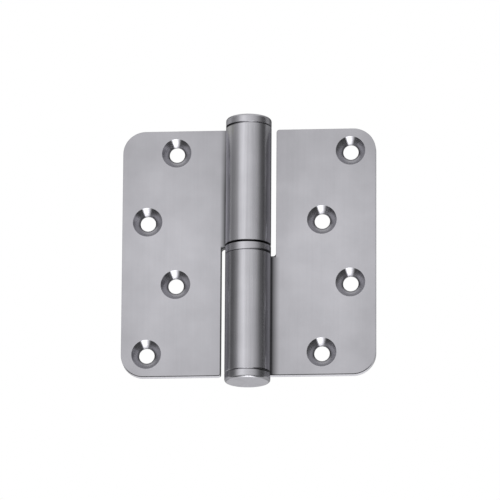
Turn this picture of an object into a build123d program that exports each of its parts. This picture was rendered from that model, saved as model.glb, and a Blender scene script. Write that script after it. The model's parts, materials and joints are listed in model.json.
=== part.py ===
from build123d import *
from math import asin, atan2, degrees, radians, sqrt, tan
import os

# Lift-off paumelle hinge: two cranked leaves with rolled knuckles, a pin, a thrust ring and two end caps.
# Frame: +Z up along the pin axis, countersunk faces towards -Y, origin on the axis at mid height.
# All sizes are millimetres, and angles are degrees.

# Leaves
leaf_height = 89.0
leaf_reach = 44.5
plate_thickness = 3.0
corner_radius = 8.0
edge_break = 0.25
closed_gap = 5.0
crank_radius = 2.0

# Rolled knuckles
knuckle_radius = 8.0
curl_slit = 0.3
notch_clearance = 1.55
notch_corner_radius = 1.0

# Screw holes, measured from the pin axis and from mid height
hole_radius = 2.7
countersink_radius = 5.2
countersink_angle = 90.0
inner_column = 25.6
outer_column = 35.6
far_row = 36.4
near_row = 11.4

# Pin
running_clearance = 0.05
pin_tip_gap = 3.0
pin_lead_in = 1.2
pin_foot_gap = 0.6

# Thrust ring between the knuckles
ring_height = 3.2
ring_relief_depth = 0.55
ring_relief_width = 1.2

# End caps
cap_height = 3.1
cap_edge_radius = 1.0
cap_seam_chamfer = 0.2
cap_spigot_length = 6.0

# Sizes that follow from the driving dimensions
bore_radius = knuckle_radius - plate_thickness
running_radius = bore_radius - running_clearance
plate_front = closed_gap / 2
plate_back = plate_front + plate_thickness
plate_middle = (plate_front + plate_back) / 2
half_height = leaf_height / 2
half_ring = ring_height / 2
notch_reach = knuckle_radius + notch_clearance
HALF_TURN = 180.0
QUARTER_TURN = 90.0


def rolled_strip():
    """Section of plate, crank and curl. The strip bends back, rounds the axis and ends at the plate's front."""
    crank_y = plate_back + crank_radius
    crank_x = -sqrt((knuckle_radius + crank_radius) ** 2 - crank_y**2)
    curl_start = degrees(atan2(crank_y, crank_x))
    crank_turn = curl_start - QUARTER_TURN
    lap_angle = degrees(asin((plate_front - curl_slit) / knuckle_radius))
    curl_sweep = curl_start + HALF_TURN + lap_angle

    crank_centre = (crank_x, crank_y)
    front_radius = crank_radius + plate_thickness
    outer_crank = CenterArc(crank_centre, crank_radius, -QUARTER_TURN, crank_turn)
    outer_curl = CenterArc((0, 0), knuckle_radius, curl_start, -curl_sweep)
    inner_curl = CenterArc((0, 0), bore_radius, curl_start - curl_sweep, curl_sweep)
    inner_crank = CenterArc(crank_centre, front_radius, crank_turn - QUARTER_TURN, -crank_turn)
    back_line = Line((-leaf_reach, plate_back), outer_crank @ 0)
    curl_end = Line(outer_curl @ 1, inner_curl @ 0)
    front_line = Line(inner_crank @ 1, (-leaf_reach, plate_front))
    free_edge = Line(front_line @ 1, back_line @ 0)
    outside = [back_line, outer_crank, outer_curl, curl_end]
    inside = [inner_curl, inner_crank, front_line, free_edge]
    return make_face(outside + inside)


def screw_hole(x, z):
    """Cutter for one countersunk hole, sunk from the front face and open at both faces of the plate."""
    half_angle = radians(countersink_angle / 2)
    sink_depth = (countersink_radius - hole_radius) / tan(half_angle)
    mouth_radius = countersink_radius + plate_thickness * tan(half_angle)
    profile = Polyline(
        (0, -plate_thickness),
        (mouth_radius, -plate_thickness),
        (hole_radius, sink_depth),
        (hole_radius, 2 * plate_thickness),
        (0, 2 * plate_thickness),
        close=True,
    )
    cutter = revolve(make_face(profile), Axis.Y)
    return Pos(x, plate_front, z) * cutter


def leaf():
    """Leaf with its plate towards -X and its knuckle in the upper half."""
    blank = extrude(rolled_strip(), half_height, both=True)

    notch_height = half_height + half_ring
    notch_width = notch_reach + 2 * knuckle_radius
    notch = Box(notch_width, 4 * knuckle_radius, notch_height, align=(Align.MIN, Align.CENTER, Align.MIN))
    blank -= Pos(-notch_reach, 0, -half_height) * notch

    free_corners = blank.edges().filter_by(Axis.Y).group_by(Axis.X)[0]
    blank = fillet(free_corners, corner_radius)
    notch_root = (-notch_reach, plate_middle, half_ring)
    notch_mouth = (-notch_reach, plate_middle, -half_height)
    across = blank.edges().filter_by(Axis.Y)
    notch_corners = [across.sort_by_distance(corner)[0] for corner in (notch_root, notch_mouth)]
    blank = fillet(notch_corners, notch_corner_radius)

    # The broken edge runs from the free side on round every corner and both ends of the knuckle
    upright = blank.edges().filter_by(Axis.Z)
    free_side = upright.sort_by_distance((-leaf_reach, plate_middle, 0))[:2]
    blank = chamfer(free_side, edge_break)

    positions = [
        (-inner_column, far_row),
        (-outer_column, near_row),
        (-inner_column, -near_row),
        (-outer_column, -far_row),
    ]
    for x, z in positions:
        blank -= screw_hole(x, z)
    return blank


def turned(points):
    """Solid of revolution about the pin axis from (radius, height) points."""
    profile = Plane.XZ * make_face(Polyline(*points, close=True))
    return revolve(profile, Axis.Z)


def hinge_pin():
    """Pin pressed into the lower knuckle, eased to a running fit above it."""
    foot = -half_height + cap_spigot_length + pin_foot_gap
    shoulder = -half_ring
    tip = half_height - cap_spigot_length - pin_tip_gap
    return turned([
        (0, foot),
        (bore_radius, foot),
        (bore_radius, shoulder),
        (running_radius, shoulder),
        (running_radius, tip - pin_lead_in),
        (running_radius - pin_lead_in, tip),
        (0, tip),
    ])


def thrust_ring():
    """Ring that carries the upper knuckle on its inner land, with a relieved rim."""
    land_radius = knuckle_radius - ring_relief_width
    rim = half_ring - ring_relief_depth
    return turned([
        (bore_radius, -half_ring),
        (knuckle_radius, -half_ring),
        (knuckle_radius, rim),
        (land_radius, rim),
        (land_radius, half_ring),
        (bore_radius, half_ring),
    ])


def end_cap():
    """Plug for the upper knuckle: a flat head with a rounded rim and a spigot in the bore."""
    seat = half_height
    crown = half_height + cap_height
    spigot_end = half_height - cap_spigot_length
    plug = turned([
        (0, spigot_end),
        (bore_radius, spigot_end),
        (bore_radius, seat),
        (knuckle_radius - cap_seam_chamfer, seat),
        (knuckle_radius, seat + cap_seam_chamfer),
        (knuckle_radius, crown),
        (0, crown),
    ])
    rim = plug.edges().filter_by(GeomType.CIRCLE).sort_by(Axis.Z)[-1]
    return fillet(rim, cap_edge_radius)


turn_over = Rot(0, HALF_TURN, 0)
parts = {
    "door_leaf": leaf(),
    "frame_leaf": turn_over * leaf(),
    "hinge_pin": hinge_pin(),
    "thrust_ring": thrust_ring(),
    "top_cap": end_cap(),
    "bottom_cap": turn_over * end_cap(),
}

os.makedirs("parts", exist_ok=True)
for name, solid in parts.items():
    export_step(solid, f"parts/{name}.step")
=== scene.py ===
import json
import math
from typing import NamedTuple

import bpy
from mathutils import Matrix, Vector


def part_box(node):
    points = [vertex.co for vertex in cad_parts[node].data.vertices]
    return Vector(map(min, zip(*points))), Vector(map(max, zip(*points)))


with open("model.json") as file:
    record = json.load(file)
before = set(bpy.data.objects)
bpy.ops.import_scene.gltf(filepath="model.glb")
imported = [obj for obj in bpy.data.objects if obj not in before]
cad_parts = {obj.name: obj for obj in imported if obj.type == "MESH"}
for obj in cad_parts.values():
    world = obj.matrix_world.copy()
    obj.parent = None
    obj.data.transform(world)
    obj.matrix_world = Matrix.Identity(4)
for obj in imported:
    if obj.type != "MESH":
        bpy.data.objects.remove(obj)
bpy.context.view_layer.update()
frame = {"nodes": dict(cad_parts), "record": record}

# Lift-off paumelle hinge in satin stainless steel, seen from a little below and from the right.
# Places on the part are millimetres in the part's own frame, stage and camera are metres, angles are degrees.
# Places on the barrel are shares of its radius, and tones are shares of the clean steel's.
MM = 0.001

# Sizes read from the frame
KNUCKLE_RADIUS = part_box("thrust_ring")[1].x / MM
HALF_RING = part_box("thrust_ring")[1].z / MM
HALF_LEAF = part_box("door_leaf")[1].z / MM
LEAF_REACH = -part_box("door_leaf")[0].x / MM
MOUNTS = {mount["name"]: mount for mount in frame["record"]["mounts"]}
PLATE_BACK = MOUNTS["door_leaf_back"]["pos_m"][1] / MM
HOLE_RADIUS = MOUNTS["door_inner_holes"]["dims"]["hole_r_mm"]

# Sizes of the source that the frame doesn't give
PLATE_THICKNESS = 3.0
PLATE_FRONT = PLATE_BACK - PLATE_THICKNESS
SINK_RADIUS = 5.2
RING_RELIEF = 0.55
EDGE_BREAK = 0.25
NOTCH_REACH = 9.55
TOLERANCE = 0.05

# Steel
STEEL_TINT = (0.60, 0.594, 0.632)
GRAZING_TINT = (0.6, 0.6, 0.6, 1.0)
BRUSH_ANISOTROPY = 0.65
RELIEF_DEPTH = 0.1 * MM
ALONG_AXIS = (0.0, 0.0, 1.0)
NOISE_RANGE = (0.3, 0.7)

# Grain of the sheet and turning marks in its countersinks, with scales for each millimetre
GRAIN_SCALE = (0.9, 0.9, 0.02)
CLOUD_SCALE = 0.11
SINK_RING_SCALE = 2.2
PLATE_GRAIN = (0.97, 1.03)
KNUCKLE_GRAIN = (0.92, 1.08)
SINK_GRAIN = (0.74, 0.92)
CLOUD_GRAIN = (-0.05, 0.05)
PLATE_ROUGHNESS = (0.30, 0.36)
KNUCKLE_ROUGHNESS = (0.23, 0.28)
SINK_ROUGHNESS = 0.17
SHEET_RELIEF = 0.05

# Painted shade on the plates' fronts for the light's falloff: none in the middle of each plate, growing
# towards its top, foot and sides
LIGHT_CENTRE = 27.0
LIGHT_HALF_WIDTH = 5.0
LIGHT_FOOT = -0.1 * HALF_LEAF
TOP_SHADE = 0.86
BOTTOM_SHADE = 0.92
SIDE_SHADE = 0.92

# Knuckles: where they start, a painted highlight at the upper one's end, and painted shade in the crease
# beside them and on their flanks
KNUCKLE_START = (HALF_RING, 1.5 * HALF_RING)
KNUCKLE_END = (0.7 * HALF_LEAF, HALF_LEAF)
KNUCKLE_END_SIDE = (0.3, 0.65)
KNUCKLE_END_HIGHLIGHT = 1.3
CREASE_FADE = (0.45 * HALF_LEAF, HALF_LEAF)
CREASE_SHADE = 0.2
ROOT_REACH = 1.1
ROOT_SHADE = 0.3
BARE_HALF = (0.0, 0.5)
BARE_FLANK_SHADE = 0.35
HELD_SIDE = (-0.35, 0.1)
HELD_FLANK_SHADE = 0.5
FLANK_END = (0.25, 0.05)

# Edges of the leaves: a painted highlight on the sheared sides, a darker band along their back, and painted
# shade on the broken edges and in the punched notch
SIDE_FACING = 0.3
BROKEN_FACING = (0.55, 0.85)
SIDE_HIGHLIGHTS = (1.1, 1.45)
SIDE_UNDER = (-0.5, -0.95)
BACK_BAND_WIDTH = 0.8
BACK_BAND_TONE = 0.7
BROKEN_EDGE_SHADES = (0.9, 0.15)
BROKEN_UNDER = (-0.3, -0.6)
NOTCH_SHADE = 0.12

# Painted shade in the seams, away from the slit and beside it
SLIT_SPREAD = (-0.2, 0.9)
SEAM_WIDTHS = (EDGE_BREAK, 2.5 * EDGE_BREAK)
KNUCKLE_SEAM_SHADES = (0.8, 0.2)
SEAM_FLANK = (-0.9, -0.6)
SEAM_FLANK_SHADES = (0.65, 0.4)
CAP_SEAM_SHADES = (0.8, 0.25)
RING_SEAM_WIDTHS = (0.5 * EDGE_BREAK, 2.5 * EDGE_BREAK)
RING_SEAM_SHADES = (0.7, 0.15)

# Countersinks: painted shade in the throat above each hole, open at the top, and on the hole's own wall
SINK_ZONE = 1.2 * SINK_RADIUS
THROAT = (HOLE_RADIUS + 0.75, HOLE_RADIUS + 0.35)
THROAT_TOP = (-0.66, -0.55)
THROAT_SHADE = 0.5
HOLE_WALL_SHADE = 0.5

# Turned pieces
CAP_RING_PITCH = 0.33
THRUST_RING_PITCH = 0.25
PIN_RING_PITCH = 0.15
END_FACING = (0.6, 0.9)
TURNED_GRAIN = (0.96, 1.04)
FAN_SCALE = 7.0
FAN_GRAIN = (0.84, 0.99)
TURNED_ROUGHNESS = (0.24, 0.30)
END_ROUGHNESS = 0.36
TURNED_RELIEF = 0.06
# Painted light and shade on the caps: shade on the rims' flanks, and a painted highlight and painted shade on
# the sides beside the slit and away from it
RIM_FACING = (0.2, 0.95)
RIM_FLANK = (-0.9, -0.5)
RIM_SHADE = 0.5
CAP_SLIT_SIDE = (0.35, 0.65)
CAP_BARE_SIDE = (0.3, 0.55)
CAP_FLANK = (-0.5, -0.2)
CAP_FLANK_SHADE = 0.5
# Black painted shade in the ring's relief, and painted shade on its flank beside the slit
RELIEF_SHADE = 0.1
RING_FLANK = (-0.4, -0.15)
RING_FLANK_SHADE = 0.2
STAIN_SCALE = (0.3, 0.3, 0.08)
STAIN_SPREAD = (0.4, 0.65)
STAIN_TONE = 0.7

# Studio light by direction: azimuth with 0 in front and 90 on the right, or the parts of a unit vector
LEVELS_ROUND = [
    (-130, 0.30), (-105, 0.30), (-85, 0.18), (-68, 0.24), (-54, 0.45), (-42, 0.78),
    (-30, 1.02), (-20, 1.10), (-8, 0.92), (5, 0.84), (18, 0.75), (32, 0.64),
    (46, 0.48), (58, 0.31), (70, 0.15), (90, 0.07), (110, 0.12), (130, 0.28),
]
OVERHEAD = (0.5, 0.85)
OVERHEAD_LEVEL = 0.7
TO_BACK = (0.0, 0.35)
BACK_RISE = (0.4, 0.7)
BACK_LEVELS = (0.3, 0.75)
BELOW = (-0.3, -0.55)
BELOW_LEVEL = 0.09
STRIP_RIGHT = (0.42, 0.25)
STRIP_LEFT = (-0.5, 0.0)
STRIP_DEPTH = (-0.78, -0.86)
STRIP_LEVEL = 2.6
SWEEP_TOP = (0.25, -0.05)
WHITE_LEVEL = 1.0

# Floor
FLOOR_DROP = 1.5
FLOOR_SIZE = 12.0
FLOOR_PAINT = (0.8, 0.8, 0.8, 1.0)
WHITE = (1.0, 1.0, 1.0, 1.0)

# Camera
CAMERA_AZIMUTH = 4.7
CAMERA_ELEVATION = -15.5
CAMERA_ROLL = 0.36
CAMERA_LENS_MM = 400.0
CAMERA_SENSOR_MM = 36.0
FRAME_PIXELS = 500
PIXEL_SIZE = 0.000349
AXIS_PIXEL = (248.1, 250.1)


class Marks(NamedTuple):
    """What differs between the door's side of the hinge and the frame's, with levels of painted light and
    shade among it.
    """
    slit_side: int
    ring_seam_painted_light: tuple
    crease_reach: float
    crease_shade_strengths: tuple
    notch_line: float
    bare_side: tuple
    band_rise: tuple
    band_fall: tuple
    band_painted_light: float
    cap_slit_painted_light: float
    cap_bare_painted_shade: float


DOOR_MARKS = Marks(
    slit_side=-1,
    ring_seam_painted_light=(0.1, 0.1),
    crease_reach=1.3,
    crease_shade_strengths=(1.0, 0.5),
    notch_line=EDGE_BREAK + TOLERANCE,
    bare_side=(-0.3, -0.1),
    band_rise=(0.42, 0.6),
    band_fall=(0.94, 1.0),
    band_painted_light=1.3,
    cap_slit_painted_light=1.45,
    cap_bare_painted_shade=1.0,
)
FRAME_MARKS = Marks(
    slit_side=1,
    ring_seam_painted_light=(1.3, 1.1),
    crease_reach=1.42,
    crease_shade_strengths=(0.9, 0.9),
    notch_line=TOLERANCE,
    bare_side=(-0.5, -0.25),
    band_rise=(0.1, 0.48),
    band_fall=(0.62, 0.78),
    band_painted_light=0.7,
    cap_slit_painted_light=0.8,
    cap_bare_painted_shade=0.7,
)


class Shader:
    """Builds one node tree with short calls that return output sockets."""

    def __init__(self, tree):
        self.tree = tree
        tree.nodes.clear()

    def put(self, socket, value):
        if isinstance(value, bpy.types.NodeSocket):
            self.tree.links.new(value, socket)
        else:
            socket.default_value = value

    def node(self, kind, inputs=(), **settings):
        made = self.tree.nodes.new(kind)
        for name, value in settings.items():
            setattr(made, name, value)
        for key, value in dict(inputs).items():
            self.put(made.inputs[key], value)
        return made

    def math(self, operation, first, second=0.0):
        return self.node("ShaderNodeMath", {0: first, 1: second}, operation=operation).outputs[0]

    def times(self, first, *others):
        for other in others:
            first = self.math("MULTIPLY", first, other)
        return first

    def size(self, value):
        return self.math("ABSOLUTE", value)

    def less(self, value, limit):
        return self.math("LESS_THAN", value, limit)

    def more(self, value, limit):
        return self.math("GREATER_THAN", value, limit)

    def outside(self, mask):
        return self.math("SUBTRACT", 1.0, mask)

    def vector(self, operation, first, second=(0, 0, 0)):
        return self.node("ShaderNodeVectorMath", {0: first, 1: second}, operation=operation).outputs["Vector"]

    def length(self, vector):
        return self.node("ShaderNodeVectorMath", {0: vector}, operation="LENGTH").outputs["Value"]

    def scaled(self, vector, factor):
        values = {0: vector, "Scale": factor}
        return self.node("ShaderNodeVectorMath", values, operation="SCALE").outputs["Vector"]

    def split(self, vector):
        return self.node("ShaderNodeSeparateXYZ", {0: vector}).outputs

    def join(self, x, y, z):
        return self.node("ShaderNodeCombineXYZ", {0: x, 1: y, 2: z}).outputs[0]

    def smooth(self, value, start, end):
        """0 at start and 1 at end, eased, whichever of the two is the larger."""
        values = {"Value": value, "From Min": start, "From Max": end}
        return self.node("ShaderNodeMapRange", values, interpolation_type="SMOOTHSTEP").outputs["Result"]

    def span(self, value, low, high, start, end):
        values = {"Value": value, "From Min": low, "From Max": high, "To Min": start, "To Max": end}
        return self.node("ShaderNodeMapRange", values).outputs["Result"]

    def spread(self, noise, start, end):
        """The useful middle of a noise, spread between two values."""
        return self.span(noise, *NOISE_RANGE, start, end)

    def mix(self, factor, first, second):
        return self.node("ShaderNodeMix", {0: factor, 2: first, 3: second}, data_type="FLOAT").outputs[0]

    def mix_vector(self, factor, first, second):
        return self.node("ShaderNodeMix", {0: factor, 4: first, 5: second}, data_type="VECTOR").outputs[1]

    def to_world(self, vector, kind):
        settings = {"vector_type": kind, "convert_from": "OBJECT", "convert_to": "WORLD"}
        return self.node("ShaderNodeVectorTransform", {0: vector}, **settings).outputs[0]

    def noise(self, vector, detail=2.0, roughness=0.5):
        values = {"Vector": vector, "Scale": 1.0, "Detail": detail, "Roughness": roughness}
        return self.node("ShaderNodeTexNoise", values).outputs["Fac"]

    def ramp(self, value, stops):
        made = self.node("ShaderNodeValToRGB", {"Fac": value})
        elements = made.color_ramp.elements
        while len(elements) < len(stops):
            elements.new(0.5)
        for element, (place, level) in zip(elements, stops):
            element.position = place
            element.color = (level, level, level, 1.0)
        return made.outputs["Color"]


class Surface:
    """A steel surface in the making: where a point lies on the part, how it faces, and its tone so far."""

    def __init__(self, name):
        self.material = bpy.data.materials.new(name)
        self.material.use_nodes = True
        self.shader = shader = Shader(self.material.node_tree)
        coords = shader.node("ShaderNodeTexCoord")
        self.point = shader.scaled(coords.outputs["Object"], 1 / MM)
        self.x, self.y, self.z = shader.split(self.point)
        self.normal = coords.outputs["Normal"]
        _, self.ny, self.nz = shader.split(self.normal)
        self.flat = shader.join(self.x, self.y, 0.0)
        self.radius = shader.length(self.flat)
        self.height = shader.size(self.z)
        self.before_axis = shader.smooth(self.y, 0.0, -1.0)
        self.tone = 1.0

    def shade(self, level, *masks):
        """Brings the tone to a share of itself where every mask is 1."""
        shader = self.shader
        self.tone = shader.times(self.tone, shader.mix(shader.times(*masks), 1.0, level))

    def towards(self, side, start, end):
        """Mask that rises across the barrel towards one side, -1 or 1."""
        shader = self.shader
        return shader.smooth(shader.times(self.x, side), start * KNUCKLE_RADIUS, end * KNUCKLE_RADIUS)

    def depth(self, start, end):
        """Mask that rises between two places in front of the axis or behind it."""
        return self.shader.smooth(self.y, start * KNUCKLE_RADIUS, end * KNUCKLE_RADIUS)

    def flank(self, start, end):
        """Mask of the barrel's two sides, which starts between two depths and is gone again at the back."""
        return self.shader.times(self.depth(start, end), self.depth(*FLANK_END))

    def finish(self, roughness, relief, relief_strength, tangent, normal):
        shader = self.shader
        relief_values = {
            "Strength": relief_strength,
            "Distance": RELIEF_DEPTH,
            "Height": relief,
            "Normal": shader.to_world(normal, "NORMAL"),
        }
        values = {
            "Base Color": shader.scaled(STEEL_TINT, self.tone),
            "Metallic": 1.0,
            "Roughness": roughness,
            "Specular Tint": GRAZING_TINT,
            "Anisotropic": BRUSH_ANISOTROPY,
            "Tangent": shader.to_world(tangent, "VECTOR"),
            "Normal": shader.node("ShaderNodeBump", relief_values).outputs[0],
        }
        steel = shader.node("ShaderNodeBsdfPrincipled", values)
        shader.node("ShaderNodeOutputMaterial", {"Surface": steel.outputs[0]})
        return self.material


class Sheet(Surface):
    """A leaf's surface: a plate, a knuckle rolled from it, and countersunk holes at (x, z) in the plate."""

    def __init__(self, name, marks, holes):
        super().__init__(name)
        shader = self.shader
        self.marks = marks
        self.beside = shader.size(self.x)
        self.from_hole, self.outward = self.nearest_hole(holes)
        before_back = shader.less(self.y, PLATE_BACK - TOLERANCE)
        self.in_sink = shader.times(shader.less(self.from_hole, SINK_RADIUS + TOLERANCE), before_back)
        self.on_knuckle = shader.less(self.radius, KNUCKLE_RADIUS + 2 * TOLERANCE)
        self.on_plate = shader.outside(self.on_knuckle)
        self.plate_only = shader.times(self.on_plate, shader.outside(self.in_sink))
        self.in_front = shader.less(self.y, PLATE_FRONT + EDGE_BREAK)
        self.own_half = shader.smooth(shader.times(self.z, -marks.slit_side), *KNUCKLE_START)
        self.to_slit = self.towards(marks.slit_side, *SLIT_SPREAD)
        facing = shader.size(self.ny)
        self.sheared = shader.times(shader.less(facing, SIDE_FACING), self.plate_only)
        least, most = BROKEN_FACING
        self.broken = shader.times(shader.more(facing, least), shader.less(facing, most), self.plate_only)

        brushing = shader.noise(shader.vector("MULTIPLY", self.point, GRAIN_SCALE), detail=4.0, roughness=0.6)
        outwards = shader.join(shader.times(self.from_hole, SINK_RING_SCALE), 0.0, 0.0)
        self.rings = shader.noise(outwards, detail=2.0, roughness=0.6)
        self.grain = shader.mix(self.in_sink, brushing, self.rings)
        clouds = shader.noise(shader.scaled(self.point, CLOUD_SCALE), detail=3.0)
        grain_tone = self.plate_or_knuckle(PLATE_GRAIN, KNUCKLE_GRAIN)
        self.tone = shader.math("ADD", grain_tone, shader.spread(clouds, *CLOUD_GRAIN))

    def nearest_hole(self, holes):
        """Distance to the nearest screw hole's axis, and the direction out from it."""
        shader = self.shader
        across = shader.join(self.x, 0.0, self.z)
        distance = 2 * HALF_LEAF
        outward = (0.0, 0.0, 0.0)
        for hole_x, hole_z in holes:
            arm = shader.vector("SUBTRACT", across, (hole_x, 0.0, hole_z))
            reach = shader.length(arm)
            own = shader.scaled(arm, shader.less(reach, SINK_ZONE))
            distance = shader.math("MINIMUM", reach, distance)
            outward = shader.vector("ADD", own, outward)
        return distance, outward

    def plate_or_knuckle(self, on_plate, on_knuckle):
        """The grain, spread between two values on the plate and between two others on the knuckle."""
        shader = self.shader
        plate = shader.spread(self.grain, *on_plate)
        knuckle = shader.spread(self.grain, *on_knuckle)
        return shader.mix(self.on_knuckle, plate, knuckle)

    def shade_plate(self):
        """Painted shade on the front for the light's falloff, growing upwards, downwards and to both sides.
        """
        shader = self.shader
        front = shader.times(self.plate_only, self.in_front)
        from_centre = shader.size(shader.math("SUBTRACT", self.beside, LIGHT_CENTRE))
        self.shade(TOP_SHADE, front, shader.smooth(self.z, 0.0, HALF_LEAF))
        self.shade(BOTTOM_SHADE, front, shader.smooth(self.z, LIGHT_FOOT, -HALF_LEAF))
        aside = shader.smooth(from_centre, LIGHT_HALF_WIDTH, LEAF_REACH - LIGHT_CENTRE)
        self.shade(SIDE_SHADE, front, aside)

    def shade_knuckle(self):
        """A painted band down the knuckle's left (a highlight on the door's knuckle, shade on the frame's), a
        painted highlight at the upper knuckle's end, and painted shade on the sides.
        """
        shader = self.shader
        marks = self.marks
        past_band = shader.outside(self.towards(-1, *marks.band_fall))
        band = shader.times(self.towards(-1, *marks.band_rise), past_band, self.before_axis)
        self.shade(marks.band_painted_light, self.on_knuckle, band)
        end = shader.times(self.towards(-1, *KNUCKLE_END_SIDE), shader.smooth(self.z, *KNUCKLE_END))
        self.shade(KNUCKLE_END_HIGHLIGHT, self.on_knuckle, end)
        bare = self.towards(-marks.slit_side, *BARE_HALF)
        self.shade(BARE_FLANK_SHADE, self.on_knuckle, bare, self.flank(*marks.bare_side))
        self.shade(HELD_FLANK_SHADE, self.on_knuckle, shader.outside(bare), self.flank(*HELD_SIDE))

    def shade_crease(self):
        """Painted shade in the crease in front of the knuckle."""
        shader = self.shader
        strength = shader.span(self.height, *CREASE_FADE, *self.marks.crease_shade_strengths)
        front = shader.times(self.own_half, self.on_plate, self.in_front, strength)
        reach = self.marks.crease_reach * KNUCKLE_RADIUS
        self.shade(CREASE_SHADE, shader.smooth(self.beside, reach, KNUCKLE_RADIUS), front)
        self.shade(ROOT_SHADE, shader.smooth(self.beside, ROOT_REACH * KNUCKLE_RADIUS, KNUCKLE_RADIUS), front)

    def shade_edges(self):
        """A painted highlight on the sheared sides, brightest under the leaf; a darker band along their back;
        painted shade on the broken edges, darkest under the leaf, and in the punched notch.
        """
        shader = self.shader
        self.shade(shader.mix(shader.smooth(self.nz, *SIDE_UNDER), *SIDE_HIGHLIGHTS), self.sheared)
        # Darker along the back of the sheared sides
        back_band = shader.smooth(self.y, PLATE_BACK - BACK_BAND_WIDTH, PLATE_BACK - EDGE_BREAK)
        self.shade(BACK_BAND_TONE, self.sheared, back_band)
        self.shade(shader.mix(shader.smooth(self.nz, *BROKEN_UNDER), *BROKEN_EDGE_SHADES), self.broken)
        by_notch = shader.less(self.beside, NOTCH_REACH + self.marks.notch_line)
        self.shade(NOTCH_SHADE, by_notch, shader.outside(self.own_half), self.on_plate)

    def shade_seams(self):
        """Painted shade in the seams at the knuckle's ends, most beside the slit; the frame's knuckle gets a
        painted highlight at the ring's seam instead.
        """
        shader = self.shader
        at_ring = shader.times(shader.less(self.height, HALF_RING + EDGE_BREAK), self.on_knuckle)
        self.shade(shader.mix(self.to_slit, *self.marks.ring_seam_painted_light), at_ring)
        from_end = shader.math("SUBTRACT", HALF_LEAF, self.height)
        at_cap = shader.times(shader.less(from_end, shader.mix(self.to_slit, *SEAM_WIDTHS)), self.on_knuckle)
        self.shade(shader.mix(self.to_slit, *KNUCKLE_SEAM_SHADES), at_cap)
        self.shade(shader.mix(self.to_slit, *SEAM_FLANK_SHADES), at_cap, self.flank(*SEAM_FLANK))

    def shade_holes(self):
        """Countersinks are turned, with painted shade towards the hole but for the side that faces down, and
        on the hole's wall.
        """
        shader = self.shader
        self.shade(shader.spread(self.rings, *SINK_GRAIN), self.in_sink)
        throat = shader.times(self.in_sink, shader.smooth(self.from_hole, *THROAT))
        self.shade(THROAT_SHADE, throat, shader.smooth(self.nz, *THROAT_TOP))
        self.shade(HOLE_WALL_SHADE, shader.less(self.from_hole, HOLE_RADIUS + 2 * TOLERANCE))

    def finish_sheet(self):
        shader = self.shader
        brushed = self.plate_or_knuckle(PLATE_ROUGHNESS, KNUCKLE_ROUGHNESS)
        roughness = shader.mix(self.in_sink, brushed, SINK_ROUGHNESS)
        tangent = shader.mix_vector(self.in_sink, ALONG_AXIS, self.outward)
        square_on = shader.join(0.0, shader.math("SIGN", self.ny), 0.0)
        worn = shader.mix_vector(self.broken, self.normal, square_on)
        return self.finish(roughness, self.grain, SHEET_RELIEF, tangent, worn)


class Turned(Surface):
    """A turned piece's surface, with fine rings round its sides and on its end face."""

    def __init__(self, name, ring_pitch):
        super().__init__(name)
        shader = self.shader
        self.facing_end = shader.size(self.nz)
        self.end_face = shader.smooth(self.facing_end, *END_FACING)
        along = shader.join(0.0, 0.0, shader.times(self.z, 1 / ring_pitch))
        outwards = shader.join(shader.times(self.radius, 1 / ring_pitch), 0.0, 0.0)
        side_rings = shader.noise(along, detail=2.0, roughness=0.7)
        end_rings = shader.noise(outwards, detail=2.0, roughness=0.7)
        self.rings = shader.mix(self.end_face, side_rings, end_rings)
        self.tone = shader.spread(self.rings, *TURNED_GRAIN)
        fan = shader.noise(shader.scaled(shader.vector("NORMALIZE", self.flat), FAN_SCALE))
        self.shade(shader.spread(fan, *FAN_GRAIN), self.end_face)

    def finish_turned(self):
        shader = self.shader
        sides = shader.spread(self.rings, *TURNED_ROUGHNESS)
        roughness = shader.mix(self.end_face, sides, END_ROUGHNESS)
        tangent = shader.mix_vector(self.end_face, ALONG_AXIS, self.flat)
        return self.finish(roughness, self.rings, TURNED_RELIEF, tangent, self.normal)


def hole_centres(*mount_names):
    """Centres of the screw holes as (x, z), from the part's bolt patterns."""
    centres = []
    for name in mount_names:
        x, _, z = MOUNTS[name]["pos_m"]
        half_spacing = MOUNTS[name]["dims"]["spacing_y_mm"] / 2
        centres += [(x / MM, z / MM + side * half_spacing) for side in (1, -1)]
    return centres


def leaf_steel(name, marks, holes):
    """Satin sheet, belt-polished along the pin's axis, with turned countersinks."""
    leaf = Sheet(name, marks, holes)
    leaf.shade_plate()
    leaf.shade_knuckle()
    leaf.shade_crease()
    leaf.shade_edges()
    leaf.shade_seams()
    leaf.shade_holes()
    return leaf.finish_sheet()


def cap_steel(name, marks):
    """Turned cap with painted light and shade on its sides and rim, and painted shade in the seam under its
    head, most beside the slit.
    """
    cap = Turned(name, CAP_RING_PITCH)
    shader = cap.shader
    to_slit = cap.towards(marks.slit_side, *SLIT_SPREAD)
    cap.shade(shader.mix(to_slit, *CAP_SEAM_SHADES), shader.less(cap.height, HALF_LEAF + EDGE_BREAK))
    least, most = RIM_FACING
    rim = shader.times(shader.more(cap.facing_end, least), shader.less(cap.facing_end, most))
    cap.shade(RIM_SHADE, rim, cap.flank(*RIM_FLANK))
    upright = shader.less(cap.facing_end, least)
    slit = cap.towards(marks.slit_side, *CAP_SLIT_SIDE)
    bare = cap.towards(-marks.slit_side, *CAP_BARE_SIDE)
    cap.shade(marks.cap_slit_painted_light, upright, slit, cap.before_axis)
    cap.shade(marks.cap_bare_painted_shade, upright, bare, cap.before_axis)
    cap.shade(CAP_FLANK_SHADE, upright, bare, cap.flank(*CAP_FLANK))
    return cap.finish_turned()


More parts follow.
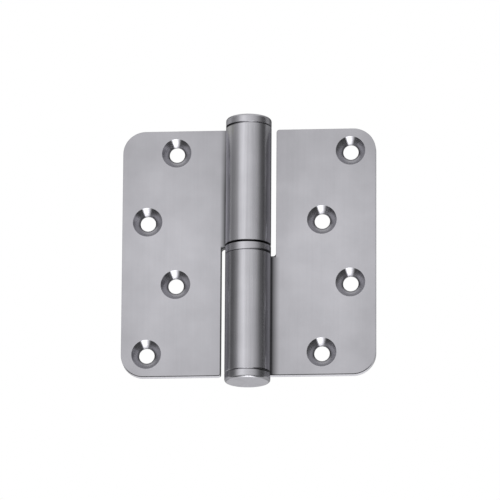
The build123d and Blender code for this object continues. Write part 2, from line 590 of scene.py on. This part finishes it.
def ring_steel(name, marks):
    """Turned ring with black painted shade in the relief above it and in the seam under it beside the lower
    slit, and painted shade on its flank there.
    """
    ring = Turned(name, THRUST_RING_PITCH)
    shader = ring.shader
    ring.shade(RELIEF_SHADE, shader.more(ring.z, HALF_RING - RING_RELIEF - TOLERANCE))
    to_slit = ring.towards(marks.slit_side, *SLIT_SPREAD)
    from_foot = shader.math("ADD", ring.z, HALF_RING)
    seam = shader.less(from_foot, shader.mix(to_slit, *RING_SEAM_WIDTHS))
    ring.shade(shader.mix(to_slit, *RING_SEAM_SHADES), seam)
    slit_half = ring.towards(marks.slit_side, *BARE_HALF)
    ring.shade(RING_FLANK_SHADE, slit_half, ring.flank(*RING_FLANK))
    return ring.finish_turned()


def pin_steel(name):
    """Ground pin, with grease stains on the length that runs in the upper knuckle."""
    pin = Turned(name, PIN_RING_PITCH)
    shader = pin.shader
    stain = shader.noise(shader.vector("MULTIPLY", pin.point, STAIN_SCALE), detail=3.0)
    pin.shade(STAIN_TONE, shader.more(pin.z, HALF_RING), shader.smooth(stain, *STAIN_SPREAD))
    return pin.finish_turned()


def dress(node, material):
    for slot in frame["nodes"][node].material_slots:
        slot.material = material


def add_world():
    """White for the camera. The steel sees soft light in front, grey sides and a white sweep behind."""
    world = bpy.data.worlds.new("studio")
    bpy.context.scene.world = world
    world.use_nodes = True
    shader = Shader(world.node_tree)
    x, y, z = shader.split(shader.node("ShaderNodeTexCoord").outputs["Generated"])
    azimuth = shader.math("ARCTAN2", x, shader.times(y, -1.0))
    turn = shader.span(azimuth, -math.pi, math.pi, 0.0, 1.0)
    level = shader.ramp(turn, [((degrees + 180) / 360, level) for degrees, level in LEVELS_ROUND])
    level = shader.mix(shader.smooth(z, *OVERHEAD), level, OVERHEAD_LEVEL)
    to_back = shader.smooth(y, *TO_BACK)
    level = shader.mix(to_back, level, shader.mix(shader.smooth(z, *BACK_RISE), *BACK_LEVELS))
    level = shader.mix(shader.smooth(z, *BELOW), level, BELOW_LEVEL)
    strip = shader.times(shader.smooth(x, *STRIP_RIGHT), shader.smooth(x, *STRIP_LEFT))
    level = shader.mix(shader.times(strip, shader.smooth(z, *STRIP_DEPTH)), level, STRIP_LEVEL)

    rays = shader.node("ShaderNodeLightPath").outputs
    direct = shader.math("MAXIMUM", rays["Is Camera Ray"], rays["Is Transmission Ray"])
    sweep = shader.times(to_back, shader.smooth(z, *SWEEP_TOP))
    seen = shader.math("MAXIMUM", direct, shader.times(rays["Is Glossy Ray"], sweep))
    values = {"Color": shader.mix(seen, level, WHITE_LEVEL), "Strength": 1.0}
    background = shader.node("ShaderNodeBackground", values)
    shader.node("ShaderNodeOutputWorld", {"Surface": background.outputs[0]})


def add_floor():
    """A plain pale floor, far enough down to leave the part in the air."""
    half = FLOOR_SIZE / 2
    corners = [(-half, -half), (half, -half), (half, half), (-half, half)]
    mesh = bpy.data.meshes.new("floor")
    mesh.from_pydata([(x, y, -FLOOR_DROP) for x, y in corners], [], [(0, 1, 2, 3)])
    material = bpy.data.materials.new("floor_paint")
    material.use_nodes = True
    shader = Shader(material.node_tree)
    paint = shader.node("ShaderNodeBsdfDiffuse", {"Color": FLOOR_PAINT})
    white = shader.node("ShaderNodeEmission", {"Color": WHITE, "Strength": WHITE_LEVEL})
    seen = shader.node("ShaderNodeLightPath").outputs["Is Camera Ray"]
    mixed = shader.node("ShaderNodeMixShader", {0: seen, 1: paint.outputs[0], 2: white.outputs[0]})
    shader.node("ShaderNodeOutputMaterial", {"Surface": mixed.outputs[0]})
    mesh.materials.append(material)
    floor = bpy.data.objects.new("floor", mesh)
    floor.visible_glossy = False
    bpy.context.scene.collection.objects.link(floor)


def add_camera():
    """A long lens below the part and to its right, with the pin's axis at its place in the frame."""
    azimuth = math.radians(CAMERA_AZIMUTH)
    elevation = math.radians(CAMERA_ELEVATION)
    across = math.cos(elevation)
    back = Vector((math.sin(azimuth) * across, -math.cos(azimuth) * across, math.sin(elevation)))
    level_right = Vector((math.cos(azimuth), math.sin(azimuth), 0.0))
    right = Matrix.Rotation(math.radians(CAMERA_ROLL), 3, back) @ level_right
    up = back.cross(right)
    centre = FRAME_PIXELS / 2
    target = (right * (centre - AXIS_PIXEL[0]) + up * (AXIS_PIXEL[1] - centre)) * PIXEL_SIZE
    distance = FRAME_PIXELS * PIXEL_SIZE * CAMERA_LENS_MM / CAMERA_SENSOR_MM
    data = bpy.data.cameras.new("camera")
    data.lens = CAMERA_LENS_MM
    data.sensor_width = CAMERA_SENSOR_MM
    camera = bpy.data.objects.new("camera", data)
    pose = Matrix((right, up, back)).transposed().to_4x4()
    pose.translation = target + back * distance
    camera.matrix_world = pose
    bpy.context.scene.collection.objects.link(camera)
    bpy.context.scene.camera = camera


door_holes = hole_centres("door_inner_holes", "door_outer_holes")
frame_holes = hole_centres("frame_inner_holes", "frame_outer_holes")
dress("door_leaf", leaf_steel("door_leaf_steel", DOOR_MARKS, door_holes))
dress("frame_leaf", leaf_steel("frame_leaf_steel", FRAME_MARKS, frame_holes))
dress("top_cap", cap_steel("top_cap_steel", DOOR_MARKS))
dress("bottom_cap", cap_steel("bottom_cap_steel", FRAME_MARKS))
dress("thrust_ring", ring_steel("ring_steel", FRAME_MARKS))
dress("hinge_pin", pin_steel("pin_steel"))
add_world()
add_floor()
add_camera()
bpy.context.scene.view_settings.view_transform = "Standard"
